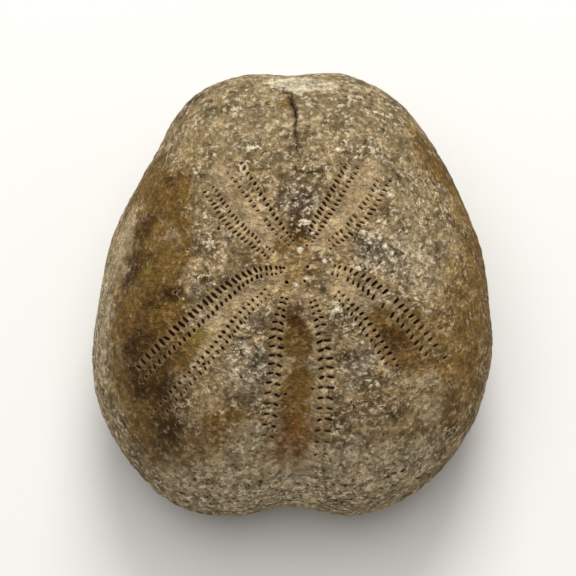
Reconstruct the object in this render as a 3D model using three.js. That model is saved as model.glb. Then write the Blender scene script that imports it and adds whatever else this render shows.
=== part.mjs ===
// A fossil heart urchin (a spatangoid of the Toxaster kind): the calcite test and its stone filling, one solid piece.
// It lies on its underside. Millimetres, +Z up, -Y the front end with the groove, +Y the cut-off rear end.
// The origin is the middle of the footprint, on the surface it rests on.
import * as THREE from "three";
import { mergeVertices } from "three/addons/utils/BufferGeometryUtils.js";

// ---- driving dimensions, mm ----
const HEIGHT = 31; // from the worn flat underneath to the top of the back
// The widest line of the test, the ambitus: its radius every 15 degrees from the right flank (+X) round by the rear.
const AMBITUS_RADII = [
  21.9, 21.8, 21.9, 23.0, 24.6, 25.1, 23.9, 25.0, 24.5, 21.9, 21.2, 21.2, // right flank, rear, left flank
  21.4, 22.9, 24.3, 25.0, 25.5, 24.2, 23.1, 24.2, 24.7, 24.4, 23.7, 22.9, // left flank, front, right flank
];
const AMBITUS_HEIGHT = 11.3; // of the widest line above the rest, halfway along
const AMBITUS_RISE = 2.0; // how much higher it runs at the rear, and lower at the front
const AXIS = [-0.05, -0.62]; // of the middle that the radii are measured from, in plan
const CROWN_SHIFT = 3.0; // the back is highest this far behind the middle
const SOLE_SHIFT = 2.0; // and the underside is flattest this far behind it
// Roundness of the profile: 2 is an ellipse, and more is squarer.
const ROUNDNESS = { front: 2.15, flank: 2.25, rear: 2.7, under: 2.3 };
const SOLE_WEAR = 1.14; // the underside would reach this share of the ambitus height if it weren't worn flat

// Hollows and ridges: place in plan or on the body, half width or radius, and depth (negative stands proud).
const FRONT_GROOVE = { x: 0, halfWidth: 5.0, depth: 1.2, from: -2, full: -18 };
const REAR_KEEL = { x: 0.3, halfWidth: 3.2, depth: -0.4, from: 6, full: 14 };
const FLANK_HOLLOW = { at: [-14, 4, 26], radius: 5, depth: 0.4 };
const PERIPROCT = { at: [0.3, 23.6, 19], halfWidth: 2.4, halfHeight: 3.0, depth: 0.9 };
const PERISTOME = { at: [0, -12.5], halfWidth: 7.5, halfLength: 5.5, depth: 1.8 };
const MOUTH_FURROW = { x: 0, halfWidth: 3.4, depth: 0.7, from: -12, full: -18 };
const UNDERSIDE_LANE = { halfWidth: 4.0, depth: 0.4 };
const UNDERSIDE_LANES = [
  [[-5.5, -7.5], [-8.0, -2.0], [-9.0, 5.0], [-7.5, 13.0], [-4.5, 19.5]],
  [[5.5, -7.5], [8.0, -2.0], [9.0, 5.0], [7.5, 13.0], [4.5, 19.5]],
];

// The five petals, each a shallow trough along a line on the back: points in plan, half width at each end.
const PETAL_DEPTH = 0.4;
const PETALS = [
  { points: [[0.8, -4.4], [0.7, -10.6], [0.5, -15.2], [0.2, -19.2]], halfWidth: [1.6, 3.0] }, // front, unpaired
  { points: [[-2.2, -2.5], [-7.8, -6.2], [-11.0, -9.5], [-14.4, -12.5]], halfWidth: [1.4, 2.8] }, // left front
  { points: [[4.4, -2.9], [7.5, -4.7], [10.2, -7.1], [14.2, -11.4]], halfWidth: [1.4, 2.4] }, // right front
  { points: [[-0.5, -0.3], [-3.2, 2.0], [-5.9, 5.0], [-7.8, 9.0]], halfWidth: [1.0, 2.1] }, // left rear
  { points: [[2.3, 0.3], [4.3, 3.1], [6.3, 6.2], [8.5, 9.8]], halfWidth: [1.0, 2.1] }, // right rear
];

const CELLS = 28; // squares along each edge of the cube that the surface is spread from
const CORE = new THREE.Vector3(0, 0, 14); // hollows push towards this point, and ridges away from it
const QUARTER_TURN = Math.PI / 2;

const square = (x) => x * x;
const bell = (x) => Math.exp(-square(x)); // 1 at 0, falling to nothing by about 2
const ease = (from, to, x) => THREE.MathUtils.smoothstep((x - from) / (to - from), 0, 1); // 0 to 1

// A smooth closed curve through evenly spaced radii, at the turn given in radians.
function ambitusRadius(turn) {
  const count = AMBITUS_RADII.length;
  const place = THREE.MathUtils.euclideanModulo((turn / (2 * Math.PI)) * count, count);
  const first = Math.floor(place);
  const share = place - first;
  const [p0, p1, p2, p3] = [-1, 0, 1, 2].map((step) => AMBITUS_RADII[(first + step + count) % count]);
  const bend = 2 * p0 - 5 * p1 + 4 * p2 - p3;
  const twist = -p0 + 3 * p1 - 3 * p2 + p3;
  return 0.5 * (2 * p1 + (p2 - p0) * share + bend * share ** 2 + twist * share ** 3);
}

// The plain body, with no hollows: turn goes round the upright axis, and fall from 0 at the top to pi underneath.
function bodyPoint(turn, fall) {
  const lengthwise = Math.sin(turn); // -1 at the front, 1 at the rear
  const end = lengthwise < 0 ? ROUNDNESS.front : ROUNDNESS.rear;
  const above = fall <= QUARTER_TURN;
  const roundness = above ? THREE.MathUtils.lerp(ROUNDNESS.flank, end, square(lengthwise)) : ROUNDNESS.under;
  const spread = Math.sin(fall) ** (2 / roundness);
  const lift = Math.abs(Math.cos(fall)) ** (2 / roundness);
  const widest = AMBITUS_HEIGHT + AMBITUS_RISE * lengthwise;
  const radius = ambitusRadius(turn) * spread;
  const shift = above ? CROWN_SHIFT : SOLE_SHIFT;
  return new THREE.Vector3(
    AXIS[0] + radius * Math.cos(turn),
    AXIS[1] + radius * lengthwise + shift * square(lift),
    above ? widest + (HEIGHT - widest) * lift : widest * (1 - SOLE_WEAR * lift),
  );
}

// A line across the back or the underside, as points to measure from.
function planLine(points, steps = 40) {
  const curve = new THREE.CatmullRomCurve3(points.map(([x, y]) => new THREE.Vector3(x, y, 0)));
  return curve.getPoints(steps);
}

// How far a place in plan is from a line, and how far along the line that is, from 0 to 1.
function nearest(line, point) {
  let best = { distance: Infinity, along: 0 };
  line.forEach((spot, i) => {
    const distance = Math.hypot(point.x - spot.x, point.y - spot.y);
    if (distance < best.distance) best = { distance, along: i / (line.length - 1) };
  });
  return best;
}

const petalLines = PETALS.map((petal) => planLine(petal.points));
const laneLines = UNDERSIDE_LANES.map((points) => planLine(points));

function petalDepth(point) {
  const depths = PETALS.map((petal, i) => {
    const { distance, along } = nearest(petalLines[i], point);
    const halfWidth = THREE.MathUtils.lerp(...petal.halfWidth, along);
    return PETAL_DEPTH * bell(distance / halfWidth);
  });
  return Math.max(...depths);
}

function backDepth(point, fall) {
  const groove = FRONT_GROOVE.depth * bell((point.x - FRONT_GROOVE.x) / FRONT_GROOVE.halfWidth);
  const keel = REAR_KEEL.depth * bell((point.x - REAR_KEEL.x) / REAR_KEEL.halfWidth);
  const [hx, hy, hz] = FLANK_HOLLOW.at;
  const fromHollow = Math.hypot(point.x - hx, point.y - hy, point.z - hz);
  const upper = ease(QUARTER_TURN, 1.1, fall);
  return (
    groove * ease(FRONT_GROOVE.from, FRONT_GROOVE.full, point.y) +
    keel * ease(REAR_KEEL.from, REAR_KEEL.full, point.y) * upper +
    FLANK_HOLLOW.depth * bell(fromHollow / FLANK_HOLLOW.radius) +
    petalDepth(point) * upper
  );
}

function undersideDepth(point) {
  const [mx, my] = PERISTOME.at;
  const fromMouth = Math.hypot((point.x - mx) / PERISTOME.halfWidth, (point.y - my) / PERISTOME.halfLength);
  const furrow = MOUTH_FURROW.depth * bell((point.x - MOUTH_FURROW.x) / MOUTH_FURROW.halfWidth);
  const fromLane = Math.min(...laneLines.map((line) => nearest(line, point).distance));
  return (
    PERISTOME.depth * ease(1, 0, fromMouth) +
    furrow * ease(MOUTH_FURROW.from, MOUTH_FURROW.full, point.y) +
    UNDERSIDE_LANE.depth * ease(UNDERSIDE_LANE.halfWidth, 0, fromLane)
  );
}

function periproctDepth(point) {
  const [px, py, pz] = PERIPROCT.at;
  const across = Math.hypot((point.x - px) / PERIPROCT.halfWidth, (point.z - pz) / PERIPROCT.halfHeight);
  return point.y > py / 2 ? PERIPROCT.depth * bell(across) : 0;
}

// The finished surface in a direction from the middle: the body, its hollows, and the worn flat that it rests on.
function testPoint(direction) {
  const turn = Math.atan2(direction.y, direction.x);
  const fall = Math.acos(THREE.MathUtils.clamp(direction.z, -1, 1));
  const point = bodyPoint(turn, fall);
  const inwards = CORE.clone().sub(point).normalize();
  if (fall <= QUARTER_TURN) {
    point.addScaledVector(inwards, backDepth(point, fall) + periproctDepth(point));
    return point;
  }
  // Below the ambitus the front groove fades into the furrow that runs to the mouth.
  const fading = 1 - ease(QUARTER_TURN, 2.4, fall);
  const groove = backDepth(point, QUARTER_TURN) * fading;
  point.addScaledVector(inwards, groove + periproctDepth(point));
  point.z = Math.max(point.z, 0) + undersideDepth(point) * (1 - fading);
  return point;
}

// A cube's grid spread over the whole surface, so that the small triangles are alike everywhere and none meet at a pole.
function testGeometry() {
  const cube = new THREE.BoxGeometry(2, 2, 2, CELLS, CELLS, CELLS);
  cube.deleteAttribute("normal");
  cube.deleteAttribute("uv");
  const geometry = mergeVertices(cube);
  const position = geometry.getAttribute("position");
  for (let i = 0; i < position.count; i++) {
    const even = [position.getX(i), position.getY(i), position.getZ(i)].map((u) => Math.tan((u * Math.PI) / 4));
    const point = testPoint(new THREE.Vector3(...even).normalize());
    position.setXYZ(i, point.x, point.y, point.z);
  }
  geometry.computeVertexNormals();
  return geometry;
}

const limestone = new THREE.MeshStandardMaterial({ color: 0x8f7c61, roughness: 0.85, metalness: 0 });
const test = new THREE.Mesh(testGeometry(), limestone);
test.name = "urchin_test";

const fossil = new THREE.Group();
fossil.add(test);

export default fossil;
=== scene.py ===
"""A fossil heart urchin of the Toxaster kind: its worn test with five petals of pores, on a plain stage.

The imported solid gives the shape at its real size. This script covers it with a finely modelled skin: pores,
ridges, crack, pits, tubercles and grains are all in the mesh, and masks on its points tell the material where
each stain lies. Points and sizes on the fossil are in millimetres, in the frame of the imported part, until the
mesh is made.
"""

import math

import bmesh
import bpy
import numpy as np
from bpy.props import FloatProperty, FloatVectorProperty, PointerProperty
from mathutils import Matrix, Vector, noise
from mathutils.bvhtree import BVHTree
from mathutils.geometry import delaunay_2d_cdt
from mathutils.kdtree import KDTree


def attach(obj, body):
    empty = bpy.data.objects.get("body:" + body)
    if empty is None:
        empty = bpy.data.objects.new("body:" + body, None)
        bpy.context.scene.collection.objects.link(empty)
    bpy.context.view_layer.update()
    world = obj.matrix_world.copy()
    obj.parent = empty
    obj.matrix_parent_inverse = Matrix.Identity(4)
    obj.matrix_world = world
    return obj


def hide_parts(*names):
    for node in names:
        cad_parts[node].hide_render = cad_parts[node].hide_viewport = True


bl_info = {
    "name": "Fossil heart urchin",
    "version": (1, 0, 0),
    "blender": (4, 5, 0),
    "location": "View3D > Sidebar > Urchin",
    "description": "Builds the skin of a fossil heart urchin and the stage that it lies on",
    "category": "Add Mesh",
}

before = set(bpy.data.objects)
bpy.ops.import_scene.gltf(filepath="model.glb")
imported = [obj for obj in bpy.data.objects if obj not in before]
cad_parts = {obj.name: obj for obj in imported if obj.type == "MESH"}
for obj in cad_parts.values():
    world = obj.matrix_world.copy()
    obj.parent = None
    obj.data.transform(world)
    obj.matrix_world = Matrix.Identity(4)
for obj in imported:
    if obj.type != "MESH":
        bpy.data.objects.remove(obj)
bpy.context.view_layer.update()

MM = 0.001
NODE = "urchin_test"
CORE = Vector((0, 0, 14))  # every point of the skin is seen from here, so a direction names one point of it
SEED = 1904
RING_POINTS = 520  # round the fossil at the core's height, where the back's triangles meet the underside's
LINE_STEPS = 60  # points along a petal's line that distances are measured from

# ---- where things lie on the test, in mm: x to its left or right, y to its front (-) or rear (+) ----

# Five petals of two columns each. A column is a line of pore pairs from the middle of the back outwards, with
# the gap between the two pores of a pair at its start, middle and end, how many pairs it has, the length and
# width of the outer and the inner pore, how the pairs spread out with distance (1 is evenly), and the share
# that is worn away.
PETALS = {
    "front": (
        dict(line=[(-0.9, -4.4), (-1.7, -7.8), (-1.9, -11.3), (-2.7, -18.2)],
             gap=(0.5, 0.98, 0.85), pairs=17, outer=(0.82, 0.34), inner=(0.78, 0.36), spread=1.25, worn=0.04),
        dict(line=[(2.0, -4.7), (2.9, -7.6), (3.4, -12.5), (2.9, -19.8)],
             gap=(0.5, 0.95, 1.1), pairs=18, outer=(0.86, 0.36), inner=(0.78, 0.36), spread=1.25, worn=0.04),
    ),
    "left_front": (
        dict(line=[(-1.1, -1.6), (-4.0, -2.0), (-6.6, -3.5), (-11.0, -7.0), (-16.9, -11.5)],
             gap=(0.5, 1.35, 1.3), pairs=31, outer=(0.98, 0.42), inner=(0.6, 0.36), spread=1.1, worn=0.0),
        dict(line=[(-2.6, -3.8), (-5.5, -6.4), (-9.0, -10.4), (-15.1, -15.8)],
             gap=(0.72, 0.92, 1.15), pairs=27, outer=(0.48, 0.31), inner=(0.52, 0.33), spread=1.1, worn=0.06),
    ),
    "right_front": (
        dict(line=[(4.0, -1.5), (6.5, -2.3), (9.4, -4.1), (12.5, -6.8), (15.9, -10.2)],
             gap=(0.8, 1.35, 1.5), pairs=22, outer=(0.86, 0.38), inner=(0.76, 0.36), spread=1.1, worn=0.1),
        dict(line=[(4.4, -3.9), (6.4, -5.7), (8.5, -8.2), (10.8, -11.4)],
             gap=(0.65, 0.9, 1.0), pairs=15, outer=(0.58, 0.32), inner=(0.62, 0.33), spread=1.05, worn=0.0),
    ),
    "left_rear": (
        dict(line=[(-2.2, -0.1), (-4.2, 1.5), (-6.6, 3.9), (-9.1, 7.9)],
             gap=(0.8, 1.0, 1.05), pairs=20, outer=(0.7, 0.3), inner=(0.58, 0.29), spread=1.1, worn=0.04),
        dict(line=[(-0.1, 1.1), (-1.8, 3.1), (-3.9, 6.2), (-6.4, 10.1)],
             gap=(0.7, 1.3, 1.7), pairs=17, outer=(0.56, 0.34), inner=(0.5, 0.26), spread=1.1, worn=0.12),
    ),
    "right_rear": (
        dict(line=[(1.6, 1.4), (2.9, 3.9), (4.6, 6.8), (6.4, 10.3)],
             gap=(0.8, 1.1, 1.2), pairs=18, outer=(0.7, 0.33), inner=(0.62, 0.29), spread=1.1, worn=0.02),
        dict(line=[(3.5, 0.9), (6.0, 3.0), (8.2, 5.9), (9.9, 9.2)],
             gap=(0.75, 1.1, 1.1), pairs=18, outer=(0.7, 0.31), inner=(0.62, 0.29), spread=1.1, worn=0.04),
    ),
}
MIDDLE_RADIUS = 20.0  # the test's own, near enough to turn a spacing on the skin into an angle
CHEVRON = math.radians(15)  # a pair's pores slant towards each other, and point at the middle of the back
PORE_WALL = 0.09  # how far a pore's wall leans in on its way down
ZONE_EDGE = 0.3  # how far a pore zone reaches past the middles of its pores

# Cracks: points in plan, width at the start and the end, and depth.
CRACK_STEP = 0.15  # between two points along a crack
CRACKS = (
    dict(line=[(-0.1, 18.7), (-0.2, 17.6), (0.25, 16.4), (0.3, 15.2)], width=(0.62, 0.36), depth=0.6),
    dict(line=[(0.3, 15.2), (0.2, 14.0), (0.4, 12.6), (0.4, 11.6)], width=(0.2, 0.1), depth=0.2),
    dict(line=[(-1.9, 19.1), (-0.9, 18.85), (-0.1, 18.9)], width=(0.12, 0.2), depth=0.25),
    dict(line=[(0.0, 9.8), (0.6, 9.1), (2.2, 9.0)], width=(0.2, 0.1), depth=0.2),
    dict(line=[(-6.4, -8.2), (-5.6, -8.6), (-4.5, -8.5)], width=(0.1, 0.08), depth=0.12),
)

# Round holes in the back: place in plan, width across, and depth. The first four are genital pores.
PITS = (
    (1.5, -1.3, 0.42, 0.4), (1.2, -2.8, 0.36, 0.4), (-0.7, -2.9, 0.46, 0.4), (-1.0, -1.4, 0.36, 0.3),
    (1.4, 1.0, 0.3, 0.3), (-12.8, 3.9, 0.3, 0.2), (-7.9, 3.1, 0.4, 0.25), (-12.5, -3.4, 0.36, 0.2),
    (-0.8, -13.7, 0.4, 0.3), (2.0, -13.3, 0.32, 0.25), (-9.4, -10.9, 0.4, 0.2), (-12.1, -3.0, 0.3, 0.15),
)

# The few big clean grains of the back: place in plan and width.
GRAINS = (
    (0.7, 0.5, 0.7), (3.3, -0.7, 0.52), (4.6, -5.6, 0.7), (0.3, -3.2, 0.45), (-10.6, -11.0, 0.6),
    (7.4, 2.7, 0.45), (8.3, 2.3, 0.6), (9.1, 2.1, 0.45), (9.7, 1.3, 0.5), (8.1, 1.5, 0.4), (10.4, 0.6, 0.45),
    (6.6, -0.2, 0.35), (9.0, 4.0, 0.45), (8.1, 4.4, 0.35),
)

# The mouth on the underside, bent round a lip on its rear edge, and the vent high on the rear. Both are
# choked with matrix. Places are (x, y) and (x, z), and sizes are half widths.
MOUTH = dict(at=(0.0, -13.2), size=(2.9, 1.5), bend=0.13, depth=0.55, lip=0.4)
VENT = dict(at=(0.3, 19.0), size=(1.7, 2.2), depth=0.45, lip=0.14)

# Rows of paired pores that spread from the mouth: their directions in plan, in degrees, how many pairs each
# has, where the first is and how far it is to the next, the pores' widths and depth, and the share worn away.
MOUTH_ROWS = dict(
    directions=(-90, -148, -32, 158, 22), pairs=5, start=3.2, spacing=0.95,
    width=(0.34, 0.44), depth=0.28, worn=0.15,
)

# Bare lanes down the underside, between the flanks and the shield of plates behind the mouth.
LANES = (
    [(-4.5, -9.5), (-7.6, -3.0), (-8.8, 4.0), (-7.6, 12.0), (-4.8, 18.5)],
    [(4.5, -9.5), (7.6, -3.0), (8.8, 4.0), (7.6, 12.0), (4.8, 18.5)],
)
LANE_WIDTH = 3.6
TUBERCLE_SPACING = 1.2

# Seams between the plates: where the five rays of pores run down to the mouth, in degrees round the apex, how
# far a ray's edges are from its middle, in degrees, the tallness of a plate, and a seam's width.
RAYS = (-90, -142, -38, 128, 52)
RAY_EDGE = 9
PLATE = 2.6
SEAM = 0.17

# Stains and crusts: each a set of soft round patches, by x, y and z of the middle, reach and strength. A
# patch's edge wanders by a share of its reach, up to the most.
WANDER_SHARE = 0.35
WANDER_MOST = 1.3
STAINS = {
    "brown": (
        (-16, 8.2, 23.4, 5.8, 1), (-16.4, 0.5, 24.2, 6, 1), (-16.2, -7.5, 22.8, 5.4, 1),
        (-13.8, -18.7, 18.8, 3.2, 0.9), (-0.1, 1.2, 30.8, 1.3, 0.8), (-12.1, 7.3, 27.5, 2.2, 0.8),
        (13.4, -9.8, 25.2, 1.8, 0.8), (13.4, 14.8, 24.4, 2.4, 0.75), (15.4, 11.6, 23.7, 2.4, 0.75),
        (-1.5, 0.7, 30.8, 1.2, 0.55), (0.2, -8.2, 29, 1.7, 0.6), (-13.5, 1, 27, 3.2, 0.6),
        (-13.6, -5, 26.5, 3, 0.6), (0.3, -12.6, 25.8, 2.3, 0.85), (0.5, -9.4, 28.2, 1.9, 0.35),
        (0.1, -15.4, 23.4, 2.4, 0.62), (-0.1, -18.4, 20.5, 2.6, 0.95), (-6.8, -16.4, 24, 2.2, 0.8),
        (-8.8, -18.8, 21.4, 2.6, 0.7), (-10.2, -8.2, 28, 1.8, 0.4), (-15.5, -13.6, 20.5, 4.6, 1),
        (-12.4, -9.6, 25.4, 3, 0.8), (0.6, -8, 29, 2.6, 0.4), (11.3, -7.9, 26.9, 2.9, 1.2),
        (8.8, -6.2, 28.4, 1.6, 0.6), (0.9, 0.6, 31, 1.3, 0.5), (17.5, 12, 20, 3.6, 0.8),
        (19.8, 5, 19.5, 4, 0.6), (17.5, -9, 22.5, 3.4, 0.5),
    ),
    "umber": (
        (-15.1, -12.8, 23.2, 3, 0.95), (-13, -13.8, 23.8, 2, 0.9), (-16.2, 4.8, 24.5, 1.6, 0.9),
        (-17.4, 0.2, 23.8, 1.8, 0.9), (-17, -8.4, 23.9, 2, 0.6), (-12.4, -10.4, 25.9, 1.6, 0.35),
        (-13, 9.4, 26.6, 1.5, 0.7), (0.5, -6.7, 29.5, 2.2, 0.95), (0.5, 2.2, 30.9, 1.2, 1),
        (0.8, 3.6, 30.9, 1.5, 0.5), (4.4, -16.4, 23.7, 1.7, 0.85), (8.7, -12.9, 26.2, 1.7, 0.5),
        (8.7, -15.3, 24.4, 1.8, 0.5), (-15.2, -8.6, 25.3, 2, 0.6), (5.3, -10, 27.9, 1.7, 0.7),
        (11.2, -8.4, 26.8, 1.5, 0.6), (-14.6, -4, 26.8, 1.8, 0.5), (-14.8, 0.8, 26.4, 1.4, 0.4),
        (10.2, -7.6, 27.6, 1.6, 0.6), (-8, 1.2, 29.6, 1.6, 0.5), (-12.8, -17, 21.4, 2.3, 0.8),
        (-14.2, -18.8, 18.6, 2.2, 0.6), (18.2, -3, 23.6, 1.3, 0.4), (16.8, -11.5, 21.8, 1.8, 0.3),
        (-12.5, -3.3, 28.1, 1, 1.1), (-18, -2, 22, 9, 0.35), (0.4, 6, 31, 2.6, 0.5),
    ),
    "ochre": (
        (19, -3, 21, 7, 0.9), (17, -11, 19.5, 6.5, 0.9), (20.4, 5, 19.5, 5, 0.9),
        (12.5, -14, 22, 4, 0.5), (14.8, 13.4, 23.6, 3.8, 0.85), (0.6, -13.5, 25, 2.4, 0.9),
        (0.2, -2, 31, 2.6, 0.7), (-4, -1.6, 30.8, 1.8, 0.5), (-11.5, 13, 26.5, 3, 0.35),
        (3.5, -20, 19, 3, 0.35), (-7.5, -16.2, 24, 2.6, 0.6), (-0.9, 17.4, 29.1, 0.8, 0.9),
        (1, 12.4, 30.4, 1.2, 0.5), (-4.6, 7.4, 30.3, 3, 0.4), (5, 6.2, 30.4, 3, 0.4),
    ),
    "rust": (
        (0.1, -17.4, 21.6, 2.8, 0.95), (0.4, -13.8, 24.8, 2, 0.4), (-0.4, -19.8, 18.9, 2.5, 0.8),
        (-14.6, -13.6, 22.6, 1.6, 0.4), (-0.7, 16.6, 29.4, 0.6, 0.5), (11.8, -9.3, 26.3, 1.3, 0.35),
    ),
    "lilac": (
        (-4.6, -11.5, 27.5, 3.6, 0.8), (-4.5, -18, 22.5, 3, 0.5), (6.3, -10.5, 27.3, 3, 0.8),
        (11.8, 0.6, 28.7, 3.4, 0.9), (7.5, 0.3, 30, 2.2, 0.6), (0.4, 6, 31, 2.4, 0.9),
        (6.5, -18.5, 22, 3.6, 0.5), (-4, -6.5, 29.5, 1.6, 0.5), (1, 14, 30.5, 4, 0.4),
        (-5, 13, 30, 3, 0.35), (-9.6, 5, 29, 1.8, 0.4), (-7, 1.8, 30, 2.4, 0.6),
    ),
    "crust": (
        (0, 17.5, 28.5, 8, 0.8), (-8, 15.5, 28, 5, 0.7), (9, 15.5, 27.5, 5.5, 0.7),
        (-9, 5, 29.5, 3, 0.5), (12.5, 7, 27.5, 4.5, 0.6), (0, 22.5, 16, 12, 0.6),
        # The four patches low on the left flank make it paler towards its outline.
        (-21.5, -1, 14, 5.5, 0.8), (-20.5, 9, 14, 6, 0.7), (-17, 16, 16, 5, 0.7),
        (-20.5, -11.5, 13.5, 4.5, 0.8), (0, 0, 0, 16, 0.5), (16, 0, 26, 5, 0.8),
        (14, -11.5, 24, 4, 0.7),
    ),
    "chalk": (
        (-1.4, 20.2, 27, 1.5, 1), (1.2, 20.3, 27, 1.6, 1), (3.8, 20, 27.2, 1.2, 0.8),
        (0.8, 19, 28, 1, 0.5), (8.4, 2.2, 29.8, 1, 0.45), (1.2, -2.6, 30.4, 0.5, 0.8),
        # The patches at (0.75, 17) and (0.9, 15.6) are a painted highlight along the right edge of the rear
        # crack; the rest are chalk.
        (1.8, -1.4, 30.6, 0.35, 0.7), (0.75, 17, 29.3, 0.4, 0.9), (0.9, 15.6, 29.8, 0.3, 0.6),
        (-12.4, 15.2, 24.8, 1.4, 0.4), (0, -21, 17.3, 2.2, 0.55), (6.4, -19.2, 21.4, 1.6, 0.45),
        (0, -12.8, 2, 2.4, 1.1), (0.3, 23.4, 19, 2, 1.1),
    ),
    # The bloom is pale calcite grains, and over the front it is also painted light: it makes the front paler,
    # as if more light fell on it.
    "bloom": (
        (-9, -21.5, 15, 6.5, 1), (0, -23.6, 13.6, 5.6, 1), (9, -20.5, 16, 6.5, 1),
        (-4.5, -18, 22.4, 3, 0.6), (-5.7, -12.5, 26.7, 1.8, 0.4), (-11.6, -12.4, 25.3, 1.4, 0.65),
        (7.8, -4.2, 29.1, 1.3, 0.6), (-5.6, -11, 27.6, 2.6, 0.5), (-22, 0, 14.5, 6.2, 1.1),
        (-21.4, -9, 14.5, 5.8, 1.1), (-20, 9.5, 16, 4, 0.5), (-20.4, -2.4, 20, 2.8, 0.6),
        (-19.6, -7, 19.6, 2.6, 0.2), (-12.9, 3, 27.4, 1.8, 0.5), (-18.9, 3.2, 21.6, 2.7, 0.9),
        (-17.6, 6.6, 22.4, 2, 0.7), (-10.4, -3.2, 28.7, 1.5, 0.6), (14.8, -14.2, 21.9, 2.2, 0.7),
        (13.5, -18.6, 17.4, 2.4, 0.7), (3.3, -19.4, 20.3, 1.7, 0.7), (14, -1.6, 27.2, 2.2, 0.55),
        (17, 4, 24, 2.6, 0.5), (12, -11.5, 23.6, 3, 0.5), (12.6, 1.8, 28.2, 3, 0.6),
        (-12, 14.5, 25.8, 2.4, 0.5),
    ),
    "green": (
        (-9.7, -8.1, 27.8, 1.5, 0.9), (-8.2, -23.2, 13.6, 1, 0.9), (-10.2, 12, 28, 2.4, 0.45),
        (2, -12, 26.5, 1.4, 0.5), (13.2, -8.2, 26, 1, 0.5), (-6.8, -5.4, 29.2, 1, 0.6),
        (-15.5, -0.5, 25.8, 2.4, 0.5), (-18.6, 6.6, 20.8, 2.4, 0.5), (18, 9.6, 20.4, 2.6, 0.5),
        (-6.6, 18.2, 27.4, 2.6, 0.4),
    ),
}

# ---- the stage, in metres ----

FLOOR_HALF = 3.0
LOOK_AT = Vector((-0.55, 1.41, 12.0)) * MM
FOCAL_LENGTH = 167.8  # mm, as the next
SENSOR_WIDTH = 36

# The two soft round lamps: name, place and width. Both face the fossil.
LAMPS = (("key", (0.03, 0.42, 0.44), 0.3), ("top", (-0.05, 0.12, 0.68), 0.7))


def linear(hex_colour):
    """The scene-linear colour of an sRGB hex value."""
    channels = [int(hex_colour[i : i + 2], 16) / 255 for i in (0, 2, 4)]
    return [c / 12.92 if c <= 0.04045 else ((c + 0.055) / 1.055) ** 2.4 for c in channels]


def colour(name, description, hex_colour):
    """A colour that the user can change, whose default is an sRGB hex value."""
    return FloatVectorProperty(
        name=name, description=description, subtype="COLOR", size=3, min=0, max=1, default=linear(hex_colour)
    )


def length(name, description, millimetres):
    """A length that the user can change, whose default is in millimetres."""
    return FloatProperty(
        name=name, description=description, subtype="DISTANCE", unit="LENGTH", min=0, precision=5,
        default=millimetres * MM,
    )


class UrchinTestSettings(bpy.types.PropertyGroup):
    """Sizes and colours of the fossil."""

    back_spacing: length("Back spacing", "How far apart the skin's points are on the back", 0.235)
    under_spacing: length("Underside spacing", "How far apart the skin's points are on the underside", 0.325)
    pore_depth: length("Pore depth", "How deep the petals' pores go", 0.38)
    undulation: length("Undulation", "Height of the worn test's broad unevenness", 0.1)
    roughness: length("Roughness", "Height of the weathered surface's grain", 0.105)
    ridge_height: length("Ridge height", "How far the ridges between the pore pairs stand proud", 0.07)
    grain_height: length("Grain height", "How far the small grains of the back stand proud", 0.07)
    tubercle_height: length("Tubercle height", "How far the underside's worn tubercles stand proud", 0.16)
    seam_depth: length("Seam depth", "How deep the seams between the plates are", 0.06)

    stone_dark: colour("Dark stone", "The test where it is worn and dirty", "756142")
    stone_light: colour("Light stone", "The test where it is clean", "ae9469")
    brown: colour("Brown stain", "Iron and clay stain on the smooth left flank", "785a27")
    umber: colour("Umber stain", "Darkest blotches on the flanks", "422808")
    ochre: colour("Ochre stain", "Paler iron stain on the right flank and in the petals", "8b6a32")
    rust: colour("Rust stain", "Strong iron stain at the end of the front petal", "7d4f20")
    lilac: colour("Lilac grey", "Bare calcite plates between the petals", "7f705e")
    # A thin lime crust over the rear and the underside; low on the left flank it makes the surface paler
    # towards the outline.
    crust: colour("Crust", "Thin lime crust over the rear and the flanks", "998663")
    # Chalk, with a painted highlight along the right edge of the rear crack.
    chalk: colour("Chalk", "Soft pale matrix left in hollows", "d4c7a8")
    # Pale grains, and painted light that brightens the front.
    bloom: colour("Bloom", "Pale calcite grains crowded over the front", "c3ad87")
    green: colour("Yellow green", "Faint lichen-like tint", "9c893c")
    floor: colour("Petal floor", "Smooth plates between a petal's two columns", "bba27c")
    zone: colour("Pore zone", "Ridges between the pairs of pores", "c4a678")
    fleck: colour("Flecks", "Bright calcite grains", "fbeccb")
    dust: colour("Dirt", "Thin dirt between the grains", "33281a")
    # Dirt, and painted shade that darkens pores, pits, cracks and the edges of the mouth and vent towards their
    # depths.
    grime_and_shade: colour("Grime", "Old dirt in pores, pits and cracks", "2e160a")


class UrchinStageSettings(bpy.types.PropertyGroup):
    """The floor, lights and camera."""

    floor: colour("Floor", "Pale plain floor", "e9e7e3")
    key_power: FloatProperty(
        name="Key light", description="The large soft light behind", unit="POWER", min=0, default=2.3
    )
    top_power: FloatProperty(
        name="Top light", description="The wide soft light overhead", unit="POWER", min=0, default=3.0
    )
    sky: FloatProperty(name="Sky", description="The even light from all round", min=0, default=0.28)
    camera_height: FloatProperty(
        name="Camera elevation", description="How steeply the camera looks down", subtype="ANGLE",
        default=math.radians(75),
    )
    camera_distance: length("Camera distance", "From the lens to the point it looks at", 300)


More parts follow.
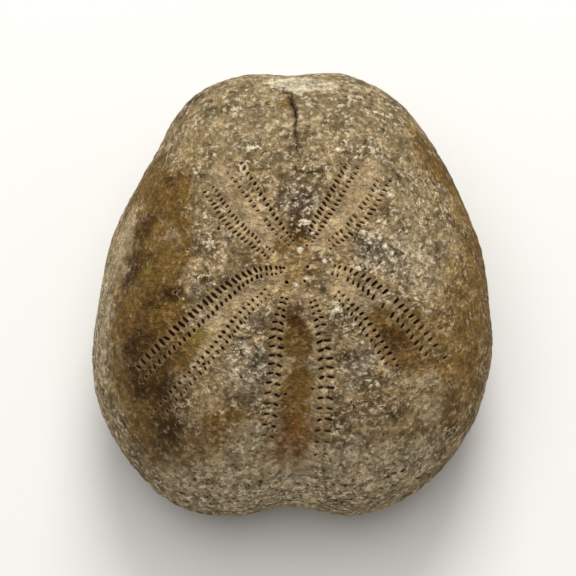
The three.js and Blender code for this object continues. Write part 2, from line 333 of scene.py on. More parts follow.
# ---- the skin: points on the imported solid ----


class Skin:
    """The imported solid's surface rounded off, measured in mm."""

    def __init__(self, node):
        solid = bmesh.new()
        solid.from_mesh(node.data)
        bmesh.ops.scale(solid, vec=(1 / MM,) * 3, verts=solid.verts)
        bmesh.ops.remove_doubles(solid, verts=solid.verts, dist=0.001)
        bmesh.ops.join_triangles(
            solid, faces=solid.faces, angle_face_threshold=math.pi, angle_shape_threshold=math.pi
        )
        mesh = bpy.data.meshes.new("rounded")
        solid.to_mesh(mesh)
        solid.free()
        rounded = bpy.data.objects.new("rounded", mesh)
        bpy.context.collection.objects.link(rounded)
        rounded.modifiers.new("Smooth", "SUBSURF").levels = 2
        self.tree = BVHTree.FromObject(rounded, bpy.context.evaluated_depsgraph_get())
        bpy.data.objects.remove(rounded)
        bpy.data.meshes.remove(mesh)

    def below(self, x, y, side=1):
        """The point of the back (side 1) or underside (side -1) at a place in plan, and the way it faces."""
        place, normal, _, _ = self.tree.ray_cast(Vector((x, y, 60 * side)), Vector((0, 0, -side)))
        if place is None:
            raise RuntimeError(f"No skin at {x:.1f}, {y:.1f}")
        return place, normal

    def meet(self, directions):
        """Where each direction from the core meets the skin, and the way the skin faces there."""
        places = np.empty((len(directions), 3))
        normals = np.empty((len(directions), 3))
        for i, direction in enumerate(directions):
            place, normal, _, _ = self.tree.ray_cast(CORE, Vector(direction))
            places[i] = place
            normals[i] = normal
        return places, normals


def ease(start, end, x):
    """0 at the start, 1 at the end, smooth between."""
    share = np.clip((np.asarray(x, float) - start) / (end - start), 0, 1)
    return share * share * (3 - 2 * share)


def along(points, shares):
    """Places on a smooth line through a few points, at shares of its length from 0 to 1."""
    knots = np.array(points, float)
    knots = np.vstack([2 * knots[0] - knots[1], knots, 2 * knots[-1] - knots[-2]])
    spans = len(knots) - 3
    steps = np.linspace(0, spans, 40 * spans + 1)
    first = np.minimum(steps.astype(int), spans - 1)
    t = (steps - first)[:, None]
    a, b, c, d = (knots[first + k] for k in range(4))
    line = 0.5 * (2 * b + (c - a) * t + (2 * a - 5 * b + 4 * c - d) * t**2 + (3 * b - a - 3 * c + d) * t**3)
    travelled = np.concatenate([[0], np.cumsum(np.linalg.norm(np.diff(line, axis=0), axis=1))])
    wanted = np.asarray(shares) * travelled[-1]
    return np.stack([np.interp(wanted, travelled, line[:, k]) for k in range(line.shape[1])], axis=1)


def petal_middle(petal):
    """The line halfway between a petal's two columns, and how far they are from it."""
    shares = np.linspace(0, 1, LINE_STEPS)
    left, right = (along(column["line"], shares) for column in petal)
    return (left + right) / 2, np.linalg.norm(left - right, axis=1) / 2


# ---- what is cut into the skin ----


class Points:
    """The points that half of the skin is made from: their directions, and what is cut at each."""

    VALUES = ("sink", "pore", "rim", "cut")

    def __init__(self):
        self.directions = []
        self.values = []

    def add(self, places, sink=0.0, pore=0.0, rim=0.0):
        """Adds places near the skin, all cut to one depth and with the same masks."""
        for place in places:
            self.directions.append((Vector(place) - CORE).normalized())
            self.values.append((sink, pore, rim, 1.0))

    def fill(self, directions):
        """Adds the free points between what is cut."""
        self.directions.extend(directions)
        self.values.extend([(0.0,) * len(self.VALUES)] * len(directions))


def cut_pore(points, skin, x, y, heading, size, depth, dark=1.0, side=1):
    """One slit-shaped or round pore: its edge level with the skin, and steep walls down to a narrow floor.

    Gives back its place and how far it reaches from there.
    """
    place, normal = skin.below(x, y, side)
    rise = -(normal.x * heading[0] + normal.y * heading[1]) / normal.z
    lengthwise = Vector((heading[0], heading[1], rise)).normalized()
    crosswise = normal.cross(lengthwise)
    half_length, half_width = size[0] / 2, size[1] / 2
    floor = max(0.5, 1 - PORE_WALL / half_width)
    # Its rings: the share of its width, how many points, how deep, and how dark. The darkness is dirt and
    # painted shade, deepest on the floor.
    rings = ((1.0, 12, 0.0, 0.05), (0.86, 12, 0.3 * depth, 0.65 * dark), (floor, 8, depth, dark))
    for share, count, sink, pore in rings:
        turns = [2 * math.pi * k / count for k in range(count)]
        ring = [
            place
            + lengthwise * (half_length - half_width * (1 - share)) * squared(math.cos(turn))
            + crosswise * half_width * share * squared(math.sin(turn))
            for turn in turns
        ]
        points.add(ring, sink, pore, rim=1.0 if share == 1.0 else 0.0)
    points.add([place], 1.1 * depth, dark)
    return place, max(half_length, half_width)


def squared(x):
    """Rounds the ends of a slit less than an ellipse would."""
    return math.copysign(abs(x) ** 0.8, x)


def petal_pores(points, skin, settings, rng):
    """All the pores of the five petals. Gives back the place and reach of each."""
    cuts = []
    depth = settings.pore_depth / MM
    for petal in PETALS.values():
        middle, _ = petal_middle(petal)
        for column in petal:
            count = column["pairs"]
            shares = ((np.arange(count) + 0.5) / count) ** column["spread"]
            centres = along(column["line"], shares)
            ahead = along(column["line"], np.minimum(shares + 0.01, 1)) - along(column["line"], shares - 0.01)
            ahead /= np.linalg.norm(ahead, axis=1)[:, None]
            gaps = np.interp(shares, (0, 0.5, 1), column["gap"])
            for centre, onward, gap, share in zip(centres, ahead, gaps, shares):
                outward = np.array([-onward[1], onward[0]])
                nearest = middle[np.argmin(np.linalg.norm(middle - centre, axis=1))]
                if np.dot(outward, centre - nearest) < 0:
                    outward = -outward
                # Pores are small by the apex. At a petal's end they shrink again, and more are worn.
                grown = 0.5 + 0.5 * float(ease(0, 0.3, share)) - 0.3 * float(ease(0.85, 1, share))
                worn_here = column["worn"] + 0.25 * float(ease(0.88, 1, share))
                for side, size in ((outward, column["outer"]), (-outward, column["inner"])):
                    jitter = rng.normal(0, 0.035, 2)
                    slant = CHEVRON + rng.normal(0, 0.1)
                    scale = grown * rng.uniform(0.88, 1.1)
                    if rng.random() < worn_here:
                        continue
                    spot = centre + side * gap / 2 + jitter
                    heading = side * math.cos(slant) + onward * math.sin(slant)
                    size_here = (size[0] * scale, size[1] * (0.35 + 0.65 * scale))
                    deep = depth * rng.uniform(0.75, 1.1)
                    cuts.append(cut_pore(points, skin, *spot, heading, size_here, deep, rng.uniform(0.85, 1)))
    return cuts


def pits(points, skin):
    """The genital pores at the apex and the stray holes of the back."""
    return [cut_pore(points, skin, x, y, (1, 0), (width, 0.85 * width), depth) for x, y, width, depth in PITS]


def mouth_pores(points, skin, rng):
    """Short rows of paired round pores, spreading from the mouth like petals."""
    cuts = []
    for degrees in MOUTH_ROWS["directions"]:
        onward = np.array([math.cos(math.radians(degrees)), math.sin(math.radians(degrees))])
        across = np.array([-onward[1], onward[0]])
        for step in range(MOUTH_ROWS["pairs"]):
            reach = MOUTH_ROWS["start"] + MOUTH_ROWS["spacing"] * step
            out = np.array(MOUTH["at"]) + onward * reach * (1.0, 0.85)
            for side in (-1, 1):
                if rng.random() < MOUTH_ROWS["worn"]:
                    continue
                spot = out + across * side * (0.55 + 0.08 * step) + rng.normal(0, 0.06, 2)
                width = rng.uniform(*MOUTH_ROWS["width"])
                size = (width, 0.8 * width)
                cuts.append(cut_pore(points, skin, *spot, across, size, MOUTH_ROWS["depth"], 0.8, side=-1))
    return cuts


def cracks(points, skin, rng):
    """Jagged cracks: two edges level with the skin and a sharp bottom between them."""
    cuts = []
    for crack in CRACKS:
        reach = float(np.sum(np.linalg.norm(np.diff(np.array(crack["line"]), axis=0), axis=1)))
        count = max(4, round(reach / CRACK_STEP))
        shares = np.linspace(0, 1, count)
        line = along(crack["line"], shares)
        line += rng.normal(0, 0.07, line.shape)
        widths = np.interp(shares, (0, 1), crack["width"]) * rng.uniform(0.7, 1.3, count)
        widths[[0, -1]] *= 0.3
        headings = np.gradient(line, axis=0)
        headings /= np.linalg.norm(headings, axis=1)[:, None]
        for (x, y), (hx, hy), width in zip(line, headings, widths):
            bottom, _ = skin.below(x, y)
            # The crack is painted dark along its bottom and half as dark at its edges: dirt and painted shade.
            points.add([bottom], crack["depth"] * rng.uniform(0.7, 1), 1.0)
            edges = [skin.below(x - s * hy * width / 2, y + s * hx * width / 2)[0] for s in (-1, 1)]
            points.add(edges, 0.0, 0.5, 0.3)
            cuts.append((bottom, width / 2))
    return cuts


def even_points(step, rng):
    """Directions spread evenly over the upper half, each nudged a little so that no pattern shows.

    The step is the angle from one to the next.
    """
    count = round(2 * math.pi / (step**2 * math.sqrt(3) / 2))
    steps = np.arange(count) + 0.5
    height = 1 - steps / count
    turn = steps * math.pi * (3 - math.sqrt(5))
    across = np.sqrt(1 - height**2)
    directions = np.stack([across * np.cos(turn), across * np.sin(turn), height], axis=1)
    directions += rng.normal(0, 0.16 * step, directions.shape)
    directions /= np.linalg.norm(directions, axis=1)[:, None]
    return directions[directions[:, 2] > 0.5 * step]


def tree_of(places):
    """A search tree of places."""
    tree = KDTree(len(places))
    for i, place in enumerate(places):
        tree.insert(place, i)
    tree.balance()
    return tree


def clear_of(cuts, skin, directions, margin):
    """Those of the directions whose points aren't inside a pore, pit or crack, or too near its edge."""
    places, _ = skin.meet(directions)
    tree = tree_of(places)
    keep = np.ones(len(places), bool)
    for place, reach in cuts:
        for _, i, _ in tree.find_range(place, reach + margin):
            keep[i] = False
    return directions[keep]


def triangles(directions, ring, upwards):
    """Joins the directions of one half, and of the ring round it, into triangles. The ring's come last."""
    both = np.vstack([directions, ring])
    spread = both[:, :2] / (1 + np.abs(both[:, 2:3]))
    flat = [Vector(p) for p in spread]
    _, _, faces, origins, _, _ = delaunay_2d_cdt(flat, [], [], 0, 1e-9)
    corners = np.array([[origins[i][0] for i in face] for face in faces])
    return corners if upwards else corners[:, ::-1]


def skin_points(skin, settings, rng):
    """The points of the back and those of the underside, with all that is cut there."""
    back = Points()
    under = Points()
    back_cuts = petal_pores(back, skin, settings, rng) + pits(back, skin) + cracks(back, skin, rng)
    under_cuts = mouth_pores(under, skin, rng)
    for points, cuts, spacing, side in (
        (back, back_cuts, settings.back_spacing / MM, 1),
        (under, under_cuts, settings.under_spacing / MM, -1),
    ):
        directions = even_points(spacing / MIDDLE_RADIUS, rng) * (1, 1, side)
        points.fill(clear_of(cuts, skin, directions, 0.4 * spacing))
    return back, under


def joined(back, under):
    """All the directions, what is cut at each, and the triangles. A ring of points joins the two halves."""
    turns = np.linspace(0, 2 * math.pi, RING_POINTS, endpoint=False)
    ring = np.stack([np.cos(turns), np.sin(turns), np.zeros_like(turns)], axis=1)
    above = np.array([tuple(direction) for direction in back.directions])
    below = np.array([tuple(direction) for direction in under.directions])
    faces_above = triangles(above, ring, True)
    faces_below = triangles(below, ring, False)
    # All together, the ring stands between the two halves, and not after the underside.
    on_ring = faces_below >= len(below)
    faces_below = faces_below + np.where(on_ring, len(above) - len(below), len(above) + len(ring))
    uncut = np.zeros((len(ring), len(Points.VALUES)))
    values = np.vstack([back.values, uncut, under.values]).T.copy()
    faces = np.vstack([faces_above, faces_below])
    return np.vstack([above, ring, below]), dict(zip(Points.VALUES, values)), faces


# ---- relief and masks, worked out at every point ----


def noise_at(places, size, octaves=3, shift=0.0):
    """Smooth random heights between about -1 and 1, with bumps of the given size in mm."""
    offset = Vector((shift, 2 * shift, -shift))
    return np.array([noise.fractal(Vector(p) / size + offset, 0.9, 2.0, octaves) for p in places])


def stain_mask(patches, places, wander):
    """How strongly a stain shows at each place: 1 is fully."""
    total = np.zeros(len(places))
    for *middle, reach, strength in patches:
        astray = min(WANDER_MOST, WANDER_SHARE * reach) * wander
        away = np.linalg.norm(places + astray - np.array(middle), axis=1) / reach
        total += strength * np.exp(-(away**2))
    return np.clip(total, 0, 1.2)


def nearest_on(line, plan):
    """Which point of a line is nearest to each place in plan, and how far off it is."""
    away = np.linalg.norm(plan[:, None, :] - line[None], axis=2)
    nearest = np.argmin(away, axis=1)
    return nearest, away[np.arange(len(plan)), nearest]


def petal_masks(places):
    """Where the ridges of the pore zones and the smooth petal floors are."""
    zone = np.zeros(len(places))
    floor = np.zeros(len(places))
    upper = ease(12, 18, places[:, 2])
    plan = places[:, :2]
    shares = np.linspace(0, 1, LINE_STEPS)
    last = LINE_STEPS - 1
    for petal in PETALS.values():
        middle, half_width = petal_middle(petal)
        nearest, away = nearest_on(middle, plan)
        floor = np.maximum(floor, 1 - ease(0.55, 0.95, away / half_width[nearest]))
        for column in petal:
            line = along(column["line"], shares)
            gap = np.interp(shares, (0, 0.5, 1), column["gap"])
            nearest, away = nearest_on(line, plan)
            across = away / (gap[nearest] / 2 + ZONE_EDGE)
            # How many pairs down the line a place is: a whole number at a pair, and a half on a ridge.
            onward = np.gradient(line, axis=0)[nearest]
            step = np.linalg.norm(onward, axis=1)
            beyond = np.sum((plan - line[nearest]) * onward, axis=1) / step - away * math.tan(CHEVRON)
            share = np.clip((nearest + beyond / step) / last, 0, 1)
            pair = column["pairs"] * share ** (1 / column["spread"]) - 0.5
            ridge = 0.4 - 0.6 * np.cos(2 * np.pi * pair)
            fading = 1 - ease(0.8 * LINE_STEPS, last, nearest)
            zone = np.maximum(zone, fading * (1 - ease(0.6, 1.3, across)) * ridge)
    return zone * upper, floor * upper


def opening(places, shape, across, down):
    """How far out from an opening's middle each place is, 1 at its edge, and how far to its lip's side."""
    x = (places[:, across] - shape["at"][0]) / shape["size"][0]
    sag = shape.get("bend", 0) * (places[:, across] - shape["at"][0]) ** 2
    y = (places[:, down] - shape["at"][1] - sag) / shape["size"][1]
    return np.hypot(x, y), y


def openings(places):
    """The relief in mm of the mouth and the vent, and a ring of painted shade just inside the edge of each."""
    height = np.zeros(len(places))
    dirt_and_shade = np.zeros(len(places))
    for shape, across, down, here in (
        (MOUTH, 0, 1, places[:, 2] < 10),
        (VENT, 0, 2, places[:, 1] > 15),
    ):
        out, y = opening(places, shape, across, down)
        sunk = shape["depth"] * (1 - ease(0.78, 1.04, out))
        rim = shape["lip"] * np.exp(-(((out - 1.25) / 0.2) ** 2)) * (0.3 + 0.7 * ease(-0.2, 0.6, y))
        height += here * (rim - sunk)
        # A dark ring just inside the edge, where the wall goes down: painted shade.
        dirt_and_shade = np.maximum(dirt_and_shade, here * 0.75 * np.exp(-(((out - 0.92) / 0.13) ** 2)))
    return height, dirt_and_shade


def lane_mask(places):
    """1 in the bare lanes of the underside."""
    away = np.full(len(places), 99.0)
    for lane in LANES:
        away = np.minimum(away, nearest_on(along(lane, np.linspace(0, 1, 40)), places[:, :2])[1])
    return (1 - ease(0.35, 0.6, away / LANE_WIDTH)) * ease(12, 8, places[:, 2])


def tubercles(places, skin, rng):
    """Worn tubercles of the underside: evenly set domes, but none in the bare lanes or round the mouth."""
    directions = even_points(TUBERCLE_SPACING / MIDDLE_RADIUS, rng) * (1, 1, -1)
    centres, _ = skin.meet(directions)
    bare = lane_mask(centres)
    mouth, _ = opening(centres, MOUTH, 0, 1)
    keep = (rng.random(len(centres)) < 0.85) & (bare < 0.4) & (mouth > 1.5)
    centres = centres[keep]
    sizes = rng.uniform(0.3, 0.46, len(centres))
    tree = tree_of(centres)
    domes = np.zeros(len(places))
    for k in np.flatnonzero(places[:, 2] < 10):
        _, i, away = tree.find(places[k])
        domes[k] = max(0, 1 - (away / sizes[i]) ** 2)
    return domes * ease(10, 7, places[:, 2])


def seam_mask(places):
    """The seams between the plates of the flanks and underside: ten double columns, a zigzag down each."""
    from_axis = np.hypot(places[:, 0], places[:, 1])
    turn = np.degrees(np.arctan2(places[:, 1], places[:, 0]))
    # A turn of 60 degrees down the flank is near enough one radius long.
    down = np.degrees(np.arctan2(from_axis, places[:, 2] - CORE.z)) / 60 * MIDDLE_RADIUS
    zigzag = 0.4 * np.abs((down / PLATE) % 2 - 1) - 0.2
    between = np.full(len(places), 99.0)
    for ray in RAYS:
        for offset, bent in ((-RAY_EDGE, 0), (0, 1), (RAY_EDGE, 0)):
            away = (turn - ray - offset + 180) % 360 - 180
            between = np.minimum(between, np.abs(np.radians(away) * from_axis + bent * zigzag))
    ordered = sorted(RAYS)
    for first, second in zip(ordered, ordered[1:] + [ordered[0] + 360]):
        away = (turn - (first + second) / 2 + 180) % 360 - 180
        between = np.minimum(between, np.abs(np.radians(away) * from_axis + 1.6 * zigzag))
    rows = np.abs((down / PLATE) % 1 - 0.5) * PLATE
    nearest = np.minimum(between, rows)
    return np.exp(-((nearest / SEAM) ** 2)) * ease(23, 17, places[:, 2])


def speckle(places, masks, uncut, rng):
    """Small grains of the back: how bright and proud each point is, from 0 to 1."""
    dulled = (1 - np.clip(1.5 * masks["brown"], 0, 1)) * (1 - 0.6 * np.clip(masks["ochre"], 0, 1))
    dulled *= 1 - 0.7 * masks["floor"]
    crowded = ease(-0.25, 0.35, noise_at(places, 2.6, 2, 19.0))
    chance = 0.08 * np.clip(dulled, 0.01, 1) * (0.25 + crowded)
    chosen = (rng.random(len(places)) < chance) & uncut
    return np.where(chosen, rng.uniform(0.2, 0.9, len(places)), 0)


def large_grains(places, skin):
    """Full on the few big grains, with a steep edge."""
    shown = np.zeros(len(places))
    for x, y, width in GRAINS:
        middle, _ = skin.below(x, y)
        away = np.linalg.norm(places - np.array(middle), axis=1)
        shown = np.maximum(shown, 1.15 * (1 - ease(0.35, 0.6, away / width)))
    return shown


def relief(places, masks, settings):
    """How far each point stands out from the smooth skin, in mm."""
    calm = 1 - 0.6 * np.clip(masks["brown"], 0, 1) - 0.5 * masks["floor"]
    calm = np.clip(calm, 0.3, 1)
    broad = noise_at(places, 5.0, 2) * settings.undulation / MM
    grain = noise_at(places, 1.1, 4, 7.0) * settings.roughness / MM
    crusted = 0.08 * ease(0.4, 0.6, masks["crust"] + 0.25 * noise_at(places, 2.2, 3, 3.0))
    proud = masks["grain"] * settings.grain_height / MM + masks["dome"] * settings.tubercle_height / MM
    proud += masks["zone"] * settings.ridge_height / MM
    return broad + calm * grain + crusted + proud - masks["seam"] * settings.seam_depth / MM


def skin_masks(places, skin, cut, rng):
    """How much of each stain, zone, dome, seam and grain there is at every point."""
    wander = np.stack([noise_at(places, 3.2, 3, shift) for shift in (11.0, 23.0, 37.0)], axis=1)
    masks = {name: stain_mask(patches, places, wander) for name, patches in STAINS.items()}
    masks["zone"], masks["floor"] = petal_masks(places)
    masks["zone"] *= 1 - 0.6 * np.clip(masks["umber"] + 0.4 * masks["brown"], 0, 1)
    masks["floor"] = np.maximum(masks["floor"], 0.8 * lane_mask(places))
    masks["dome"] = np.where(cut, 0, tubercles(places, skin, rng))
    masks["seam"] = np.where(cut, 0, seam_mask(places))
    masks["grain"] = np.maximum(speckle(places, masks, ~cut, rng), 0.55 * masks["dome"])
    masks["grain"] = np.maximum(masks["grain"], large_grains(places, skin))
    return masks


def build_test(settings):
    """The whole fossil as one closed mesh."""
    rng = np.random.default_rng(SEED)
    skin = Skin(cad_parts[NODE])
    directions, carved, faces = joined(*skin_points(skin, settings, rng))
    places, normals = skin.meet(directions)
    masks = skin_masks(places, skin, carved["cut"] > 0, rng)
    holes, dirt_and_shade = openings(places)
    # The pore mask carries dirt and painted shade: in pores, pits and cracks, and round the openings.
    masks["pore"] = np.maximum(carved["pore"], dirt_and_shade)
    masks["rim"] = carved["rim"]
    height = relief(places, masks, settings) + holes - carved["sink"]
    places = places + normals * height[:, None]
    places[:, 2] = np.maximum(places[:, 2], 0)

    mesh = bpy.data.meshes.new("fossil_urchin")
    mesh.from_pydata((places * MM).tolist(), [], faces.tolist())
    mesh.shade_smooth()
    for name, values in masks.items():
        if name != "dome":
            mesh.attributes.new(name, "FLOAT", "POINT").data.foreach_set("value", values)
    mesh.update()
    return mesh


# ---- the finish ----


def add(tree, kind, inputs=None, output=0, **settings):
    """Adds a node and gives back one output. Each input takes a value, or such an output to link from."""
    node = tree.nodes.new("ShaderNode" + kind)
    for name, value in settings.items():
        setattr(node, name, value)
    for name, value in (inputs or {}).items():
        if isinstance(value, bpy.types.NodeSocket):
            tree.links.new(value, node.inputs[name])
        else:
            node.inputs[name].default_value = value
    return node.outputs[output] if node.outputs else None


def per_metre(millimetres):
    """The scale that gives a pattern cells of a real size."""
    return 1 / (millimetres * MM)


def blank(name):
    """A new material with nothing in it yet."""
    material = bpy.data.materials.new(name)
    material.use_nodes = True
    material.node_tree.nodes.clear()
    return material


# The patterns in the stone: size in mm, detail, roughness, and whether its crystals make it crooked.
PATTERNS = {
    "mottle": (3.0, 6.0, 0.65, False),
    "creep": (0.9, 4.0, 0.65, False),
    "weather": (2.0, 3.0, 0.6, False),
    "crowd": (2.2, 4.0, 0.5, False),
    "grit": (0.62, 4.0, 0.72, True),
    "gaps": (0.5, 3.0, 0.6, True),
}
BEND = 0.8  # mm, the size of the crystals' bends
BEND_REACH = 0.7  # mm, how far they move a mark
GRIT_HEIGHT = 0.7  # mm, of the bump

# The coats from the lowest to the top one: mask, how ragged and how soft its edge is, and how much shows.
COATS = (
    ("lilac", 0.5, 0.25, 0.8),
    ("crust", 0.6, 0.25, 0.7),
    ("ochre", 0.8, 0.4, 0.8),
    ("floor", 0.4, 0.3, 0.55),
    ("brown", 0.45, 0.12, 0.92),
    ("umber", 0.9, 0.3, 0.8),
    ("rust", 0.7, 0.4, 0.75),
    # Pale grains, and painted light on the front.
    ("bloom", 0.9, 0.35, 0.75),
    ("green", 0.7, 0.25, 0.45),
    ("zone", 0.3, 0.4, 0.75),
    # Chalk, and a painted highlight beside the rear crack.
    ("chalk", 0.8, 0.2, 0.85),
)

# How much of the dirt in seams, the flecks and the pale rims of pores shows.
SEAM_SHOWS = 0.4
FLECK_SHOWS = 0.88
RIM_SHOWS = 0.35


def patterns(tree):
    """The stone's patterns by name. Crystals are bent out of line, which makes their marks crooked."""
    place = add(tree, "TexCoord", output="Object")
    bend = add(tree, "TexNoise", {"Vector": place, "Scale": per_metre(BEND), "Detail": 2.0}, "Color")
    reach = (BEND_REACH * MM,) * 3
    bent = add(tree, "VectorMath", {0: bend, 1: reach, 2: place}, operation="MULTIPLY_ADD")
    return {
        name: add(tree, "TexNoise", {
            "Vector": bent if crooked else place,
            "Scale": per_metre(size),
            "Detail": detail,
            "Roughness": roughness,
        })
        for name, (size, detail, roughness, crooked) in PATTERNS.items()
    }


def stained(tree, pattern, masks, settings):
    """The colour of the bare stone with its stains, coat over coat."""
    # Mottling follows the plates, which are 3 to 4 mm across.
    mottle = add(
        tree, "MapRange", {"Value": pattern["mottle"], "From Min": 0.37, "From Max": 0.63},
        interpolation_type="SMOOTHSTEP",
    )
    stone = {6: (*settings.stone_dark, 1), 7: (*settings.stone_light, 1)}
    coat = add(tree, "Mix", {0: mottle, **stone}, 2, data_type="RGBA")

    # Stains creep along the grain, so their edges break up over about a millimetre.
    creep = add(tree, "Math", {0: pattern["creep"], 1: 0.5}, operation="SUBTRACT")
    for name, ragged, soft, share in COATS:
        reach = add(tree, "Math", {0: creep, 1: 2 * ragged, 2: masks[name]}, operation="MULTIPLY_ADD")
        amount = add(
            tree, "MapRange",
            {"Value": reach, "From Min": 0.5 - soft, "From Max": 0.5 + soft, "To Max": share},
            interpolation_type="SMOOTHSTEP",
        )
        tint = (*getattr(settings, name), 1)
        coat = add(tree, "Mix", {0: amount, 6: coat, 7: tint}, 2, data_type="RGBA")

    # Here and there the whole surface, stains too, has weathered paler or stayed darker.
    weather = add(
        tree, "MapRange",
        {"Value": pattern["weather"], "From Min": 0.35, "From Max": 0.65, "To Min": 0.7, "To Max": 1.35},
    )
    return add(tree, "Mix", {0: 1.0, 6: coat, 7: weather}, 2, data_type="RGBA", blend_type="MULTIPLY")


def gritted(tree, pattern, smoothness, coat):
    """The coat as a grit of calcite crystals, each a little cleaner or dirtier than the next."""
    shade = add(
        tree, "MapRange",
        {"Value": pattern["grit"], "From Min": 0.32, "From Max": 0.68, "To Min": 0.5, "To Max": 1.6},
    )
    shaded = add(tree, "Mix", {0: 1.0, 6: coat, 7: shade}, 2, data_type="RGBA", blend_type="MULTIPLY")
    uneven = add(tree, "MapRange", {"Value": smoothness, "To Min": 1.0, "To Max": 0.75})
    return add(tree, "Mix", {0: uneven, 6: coat, 7: shaded}, 2, data_type="RGBA")


def dirt_and_flecks(tree, pattern, masks, smoothness):
    """How much of the dirt and of the bright broken crystals shows."""
    # Broken grains stand in loose crowds, thickest on the bare front and between the petals.
    crowd = add(
        tree, "MapRange",
        {"Value": pattern["crowd"], "From Min": 0.42, "From Max": 0.6, "To Min": 0.2, "To Max": 1.0},
    )
    for name in ("bloom", "lilac"):
        crowd = add(tree, "Math", {0: crowd, 1: masks[name]}, operation="MAXIMUM", use_clamp=True)
    gritty = add(tree, "MapRange", {"Value": smoothness, "To Min": 1.0, "To Max": 0.15})
    crowd = add(tree, "Math", {0: crowd, 1: gritty}, operation="MULTIPLY")

    # Dirt lies in the gaps between them, and in the seams.
    dirt_and_shade = add(
        tree, "MapRange", {"Value": pattern["gaps"], "From Min": 0.48, "From Max": 0.35, "To Max": 0.9},
        interpolation_type="SMOOTHSTEP",
    )
    dirt_and_shade = add(tree, "Math", {0: dirt_and_shade, 1: crowd}, operation="MULTIPLY")
    seam = {0: masks["seam"], 1: SEAM_SHOWS, 2: dirt_and_shade}
    dirt_and_shade = add(tree, "Math", seam, operation="MULTIPLY_ADD", use_clamp=True)

    # Their broken faces catch the light: crooked bright flecks.
    fleck = add(
        tree, "MapRange", {"Value": pattern["grit"], "From Min": 0.545, "From Max": 0.605},
        interpolation_type="SMOOTHSTEP",
    )
    fleck = add(tree, "Math", {0: fleck, 1: crowd}, operation="MULTIPLY")
    fleck = add(tree, "Math", {0: fleck, 1: masks["grain"]}, operation="MAXIMUM")
    return dirt_and_shade, add(tree, "Math", {0: fleck, 1: FLECK_SHOWS}, operation="MULTIPLY")


def weathered_limestone(settings):
    """Limestone under the calcite of a sea urchin's test, weathered out and never polished.

    To the eye it is dull and gritty: grey-tan mottled plates, brown and rust where iron and clay have soaked
    in, pale crooked flecks where calcite grains have broken, and dark dirt packed in every pore, with painted
    shade that darkens each pore, pit and crack towards its depth. Over the front, painted light makes it paler.
    """
    material = blank("weathered_limestone")
    tree = material.node_tree
    pattern = patterns(tree)
    masks = {
        name: add(tree, "Attribute", output="Fac", attribute_name=name)
        for name in ("pore", "rim", "grain", "seam", *(coat[0] for coat in COATS))
    }

    # The stained flanks and the petals' floors are smoother, and hold less grit.
    smoothness = add(tree, "Math", {0: masks["ochre"], 1: 0.7}, operation="MULTIPLY")
    for name in ("brown", "floor"):
        smoothness = add(tree, "Math", {0: smoothness, 1: masks[name]}, operation="MAXIMUM", use_clamp=True)
    coat = gritted(tree, pattern, smoothness, stained(tree, pattern, masks, settings))

    # Dirt and flecks lie over that. A pore's rim is worn clean and pale, and its inside is packed with dirt and
    # painted with shade, darker towards its floor.
    dirt_and_shade, fleck = dirt_and_flecks(tree, pattern, masks, smoothness)
    rim = add(tree, "Math", {0: masks["rim"], 1: RIM_SHOWS}, operation="MULTIPLY")
    for amount, tint in (
        (dirt_and_shade, settings.dust), (fleck, settings.fleck), (rim, settings.zone), (masks["pore"], settings.grime_and_shade)
    ):
        coat = add(tree, "Mix", {0: amount, 6: coat, 7: (*tint, 1)}, 2, data_type="RGBA")

    rough = add(tree, "MapRange", {"Value": smoothness, "To Min": 0.92, "To Max": 0.75})
    height = add(tree, "Math", {0: pattern["grit"], 1: pattern["gaps"]}, operation="ADD")
    bump = add(tree, "Bump", {"Height": height, "Strength": 1.0, "Distance": GRIT_HEIGHT * MM})
    surface = add(
        tree, "BsdfPrincipled",
        {"Base Color": coat, "Roughness": rough, "Normal": bump, "IOR": 1.5, "Specular IOR Level": 0.1},
    )
    add(tree, "OutputMaterial", {"Surface": surface})
    return material


def matt_card(settings):
    """Matt white studio card: even, with a faint tooth from its paper."""
    material = blank("matt_card")
    tree = material.node_tree
    place = add(tree, "TexCoord", output="Object")
    tooth = add(tree, "TexNoise", {"Vector": place, "Scale": per_metre(0.8), "Detail": 2.0})
    bump = add(tree, "Bump", {"Height": tooth, "Strength": 0.1, "Distance": 0.05 * MM})
    surface = add(
        tree, "BsdfPrincipled",
        {"Base Color": (*settings.floor, 1), "Roughness": 0.9, "Specular IOR Level": 0.2, "Normal": bump},
    )
    add(tree, "OutputMaterial", {"Surface": surface})
    return material


# ---- operators ----


class URCHIN_OT_test(bpy.types.Operator):
    """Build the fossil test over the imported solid"""

    bl_idname = "urchin.test"
    bl_label = "Fossil test"

    def execute(self, context):
        settings = context.scene.urchin_test
        test = bpy.data.objects.new("fossil_urchin", build_test(settings))
        context.collection.objects.link(test)
        test.data.materials.append(weathered_limestone(settings))
        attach(test, "root")
        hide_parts(NODE)
        return {"FINISHED"}


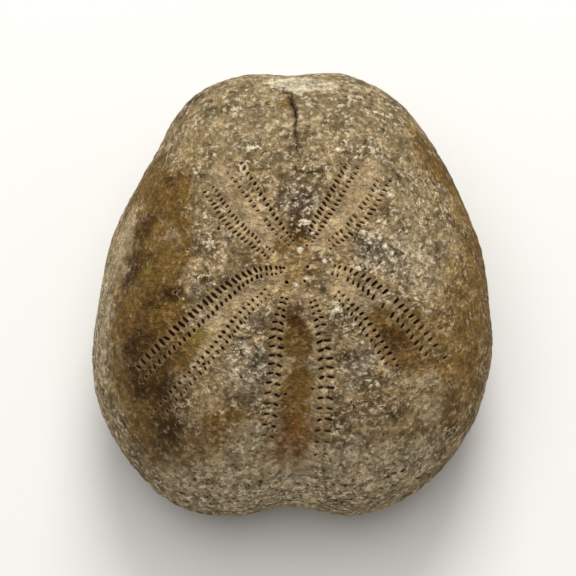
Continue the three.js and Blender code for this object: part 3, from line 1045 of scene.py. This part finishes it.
class URCHIN_OT_stage(bpy.types.Operator):
    """Build the floor, the lights and the camera"""

    bl_idname = "urchin.stage"
    bl_label = "Stage"

    def execute(self, context):
        settings = context.scene.urchin_stage
        scene = context.scene
        sheet = bpy.data.meshes.new("floor")
        corners = [(x * FLOOR_HALF, y * FLOOR_HALF, 0) for x, y in ((-1, -1), (1, -1), (1, 1), (-1, 1))]
        sheet.from_pydata(corners, [], [(0, 1, 2, 3)])
        floor = bpy.data.objects.new("floor", sheet)
        sheet.materials.append(matt_card(settings))
        context.collection.objects.link(floor)

        world = bpy.data.worlds.new("studio")
        world.use_nodes = True
        backdrop = world.node_tree.nodes["Background"]
        backdrop.inputs["Color"].default_value = (1, 1, 1, 1)
        backdrop.inputs["Strength"].default_value = settings.sky
        scene.world = world

        for name, place, width in LAMPS:
            light = bpy.data.lights.new(name, "AREA")
            light.shape = "DISK"
            light.size = width
            light.energy = getattr(settings, f"{name}_power")
            lamp = bpy.data.objects.new(name, light)
            lamp.location = place
            lamp.rotation_euler = (CORE * MM - Vector(place)).to_track_quat("-Z", "Y").to_euler()
            context.collection.objects.link(lamp)

        lens = bpy.data.cameras.new("camera")
        lens.lens = FOCAL_LENGTH
        lens.sensor_width = SENSOR_WIDTH
        lens.clip_start = 0.01
        camera = bpy.data.objects.new("camera", lens)
        tilt = settings.camera_height
        back = Vector((0, -math.cos(tilt), math.sin(tilt)))
        camera.location = LOOK_AT + back * settings.camera_distance
        camera.rotation_euler = (-back).to_track_quat("-Z", "Y").to_euler()
        context.collection.objects.link(camera)
        scene.camera = camera
        scene.view_settings.view_transform = "Standard"
        return {"FINISHED"}


class URCHIN_PT_panel(bpy.types.Panel):
    """Lists what can be built, with its settings"""

    bl_label = "Fossil heart urchin"
    bl_idname = "URCHIN_PT_panel"
    bl_space_type = "VIEW_3D"
    bl_region_type = "UI"
    bl_category = "Urchin"

    def draw(self, context):
        for operator, settings in (
            (URCHIN_OT_test, context.scene.urchin_test),
            (URCHIN_OT_stage, context.scene.urchin_stage),
        ):
            box = self.layout.box()
            box.operator(operator.bl_idname)
            for name in settings.__annotations__:
                box.prop(settings, name)


CLASSES = (UrchinTestSettings, UrchinStageSettings, URCHIN_OT_test, URCHIN_OT_stage, URCHIN_PT_panel)


def register():
    for each in CLASSES:
        bpy.utils.register_class(each)
    bpy.types.Scene.urchin_test = PointerProperty(type=UrchinTestSettings)
    bpy.types.Scene.urchin_stage = PointerProperty(type=UrchinStageSettings)


def unregister():
    del bpy.types.Scene.urchin_stage
    del bpy.types.Scene.urchin_test
    for each in reversed(CLASSES):
        bpy.utils.unregister_class(each)


def main():
    register()
    bpy.ops.urchin.test()
    bpy.ops.urchin.stage()


if __name__ == "__main__":
    main()
